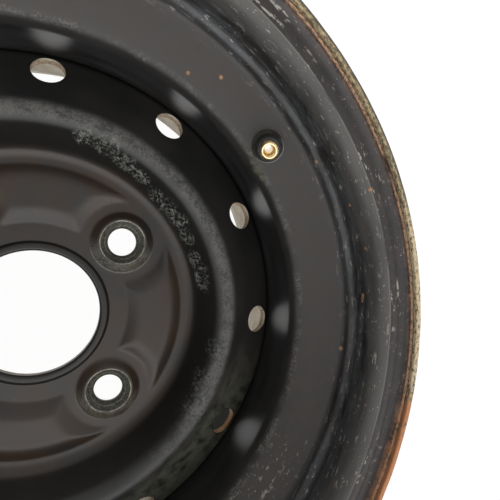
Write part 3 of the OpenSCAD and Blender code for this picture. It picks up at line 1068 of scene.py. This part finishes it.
# The valve's rubber was pulled through the hole in the well: its head is inside the
# tyre's space, its neck in the hole, and its bulb and sleeve stand on the hub side.
# Its outline, as (radius, place along the axis, bend) in millimetres
rubber_line = rounded(np.array([
    (3.2, -8.1, 0), (6.5, -8.1, 1.5), (9.5, -2.6, 0.6), (5.75, -2.6, 0), (5.75, 0.1, 0),
    (7.6, 0.1, 0.5), (7.6, 2, 0.8), (6.2, 4, 1), (5.2, 13, 1.2), (3.2, 13, 0),
]) * MM, reach=0.8 * MM)
rubber_tones = (0.026, 0.025, 0.022, 1), (0.050, 0.048, 0.043, 1)
highlight_grey = (0.30, 0.29, 0.27, 1)
caked_green = (0.085, 0.088, 0.066, 1)
rubber_points, rubber_faces = turned(rubber_line, round_the_valve)
rubber = skin("valve_rubber", rubber_points, rubber_faces)
rubber.data.transform(valve_seat)
black, shader, place = blank("valve_rubber")
x, y, z = place.axes()
fine = place.grain(0.9, 4.0, 0.6)
cloud = place.grain(5, 3.0, 0.6)
colour = cloud.ease(0.4, 0.65).mix(*rubber_tones)
# Places on the valve from its foot: up its axis, out from it, and along X and Y
foot_of_valve = [c / MM for c in valve_seat.translation]
from_foot = place.vector_math("SUBTRACT", place, foot_of_valve)
up_axis = from_foot.vector_math("DOT_PRODUCT", from_foot, valve_seat.col[2].xyz, out="Value")
span = from_foot.vector_math("LENGTH", from_foot, out="Value")
to_axis = (span * span - up_axis * up_axis).most(0.0) ** 0.5
foot_x, foot_y, _ = from_foot.axes()
# The bulb's foot has a painted highlight, a pale arc at the lower right, and is caked with dirt
# opposite
foot_highlight = to_axis.ease(6.7, 7.1) * up_axis.band(0.3, 2.6, 0.4) * (foot_x - foot_y).ease(-1, 4)
colour = (0.9 * foot_highlight * (0.5 + 0.5 * fine.ease(0.35, 0.5))).mix(colour, highlight_grey)
caked = (foot_y - foot_x).ease(4, 9) * to_axis.ease(5.6, 6.6) * fine.ease(0.38, 0.55)
colour = (0.7 * caked).mix(colour, caked_green)
wire_up(shader, 0.04 * fine, Base_Color=colour, Roughness=0.42 + 0.2 * fine)
rubber.data.materials.append(black)
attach(rubber, "root")
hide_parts("valve_body")


# The stem is a brass tube moulded into the rubber, threaded outside for its missing
# cap. Its core is missing too, so its passage is open from end to end.
stem_line = rounded(np.array([
    (1.9, -7.6, 0), (3.2, -7.6, 0), (3.2, 13.5, 0), (3.85, 13.5, 0), (3.85, 21.4, 0.15),
    (3.25, 22, 0.25), (2.6, 22, 0.25), (2.6, 13, 0), (1.9, 12.3, 0),
]) * MM, reach=0.13 * MM)
thread_pitch = 0.794 * MM
thread_depth = 0.42 * MM
thread_start = 14.0 * MM
thread_end = 21.3 * MM
brass_tones = (0.88, 0.62, 0.30, 1), (1.0, 0.85, 0.52, 1)


def cut_thread(plain_stem, pitch, depth, low, high):
    """Push the stem's outside, which lies past 3.7 mm from its axis, in along a helix."""
    place = plain_stem.node("GeometryNodeInputPosition")
    x, y, z = place.axes()
    r = (x * x + y * y) ** 0.5
    phase = z / pitch - place.math("ARCTAN2", y, x) / (2 * math.pi)
    groove = (2 * (phase - phase.math("FLOOR", phase)) - 1).size()
    outside = r.ease(3.5 * MM, 3.7 * MM) * z.ease(low, low + pitch) * z.ease(high, high - pitch)
    squeeze = -1 * depth * groove * outside / r
    shift = place.node("ShaderNodeCombineXYZ", inputs={0: x * squeeze, 1: y * squeeze})
    return place.node("GeometryNodeSetPosition", inputs={"Geometry": plain_stem, "Offset": shift})


brass, shader, place = blank("valve_brass")
fine = place.grain(1.4, 4.0, 0.6)
colour = fine.ease(0.35, 0.7).mix(*brass_tones)
wire_up(shader, 0.01 * fine, Base_Color=colour, Roughness=0.16 + 0.2 * fine)
shader.inputs["Metallic"].default_value = 1.0
stem_points, stem_faces = turned(stem_line, round_the_valve)
stem = skin("valve_stem_brass", stem_points, stem_faces)
grow(
    stem, brass, cut_thread,
    pitch=thread_pitch, depth=thread_depth, low=thread_start, high=thread_end,
)
stem.data.transform(valve_seat)
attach(stem, "root")
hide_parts("valve_stem")


# The floor is a plain pale sheet under the inboard flange. To the camera and in
# reflections it is nearly white, and keeps a faint shadow of the wheel.
floor_reach = 1.6
sheet_grey = (0.86, 0.86, 0.86, 1)
floor_glow = 1.07
floor_mesh = bpy.data.meshes.new("floor")
corners = (-1, -1), (1, -1), (1, 1), (-1, 1)
floor_mesh.from_pydata(
    [(x * floor_reach, y * floor_reach, rim_low.z) for x, y in corners], [], [(0, 1, 2, 3)]
)
floor = bpy.data.objects.new("floor", floor_mesh)
scene.collection.objects.link(floor)
sheet, shader, place = blank("floor_sheet")
shader.inputs["Base Color"].default_value = sheet_grey
shader.inputs["Roughness"].default_value = 0.8
shader.inputs["Specular IOR Level"].default_value = 0.1
glow = place.node("ShaderNodeEmission", inputs={"Color": (1, 1, 1, 1), "Strength": floor_glow})


def seen(start):
    """1 for the rays that show a surface: to the camera, in gloss and through glass."""
    kinds = ("Camera", "Glossy", "Transmission")
    rays = [start.node("ShaderNodeLightPath", out=f"Is {kind} Ray") for kind in kinds]
    return functools.reduce(Wire.most, rays)


shown = place.node("ShaderNodeMixShader", inputs={0: 0.9 * seen(place), 2: glow})
sheet.node_tree.links.new(shader.outputs[0], shown.socket.node.inputs[1])
sheet.node_tree.links.new(shown.socket, sheet.node_tree.nodes["Material Output"].inputs[0])
floor.data.materials.append(sheet)


# The light is a soft white studio: a little darker overhead, where the photographer
# stood, and low on the left, and brighter over the near side and the right.
studio = bpy.data.worlds.new("studio")
studio.use_nodes = True
scene.world = studio
sky = Wire(studio.node_tree)
way = sky.node("ShaderNodeTexCoord", out="Generated")
dx, dy, dz = way.axes()
even_light = 0.76
near_light = 1.45 * (-dy).ease(0.02, 0.6) * dz.ease(0.1, 0.5)
right_light = 0.35 * dx.ease(0.25, 0.75) * dz.ease(0.0, 0.35)
left_shade = 0.5 * (-dx).ease(0.3, 0.66)
lit = even_light + near_light + right_light - left_shade
to_camera = sky.node("ShaderNodeLightPath", out="Is Camera Ray")
backdrop = studio.node_tree.nodes["Background"]
studio.node_tree.links.new(to_camera.blend(lit, 1.0).socket, backdrop.inputs["Strength"])
backdrop.inputs["Color"].default_value = (1, 1, 1, 1)


# The camera stands over the wheel's right side, as close as the photographer did.
camera_data = bpy.data.cameras.new("camera")
camera_data.lens = 30.03
camera_data.sensor_width = 36
camera_data.clip_start = 5 * MM
camera = bpy.data.objects.new("camera", camera_data)
camera.location = (19.1 * MM, 44.0 * MM, rim_high.z + 144.4 * MM)
camera.rotation_euler = Euler([math.radians(a) for a in (-2.928, -21.791, 6.154)])
scene.collection.objects.link(camera)
scene.camera = camera

scene.view_settings.view_transform = "Standard"
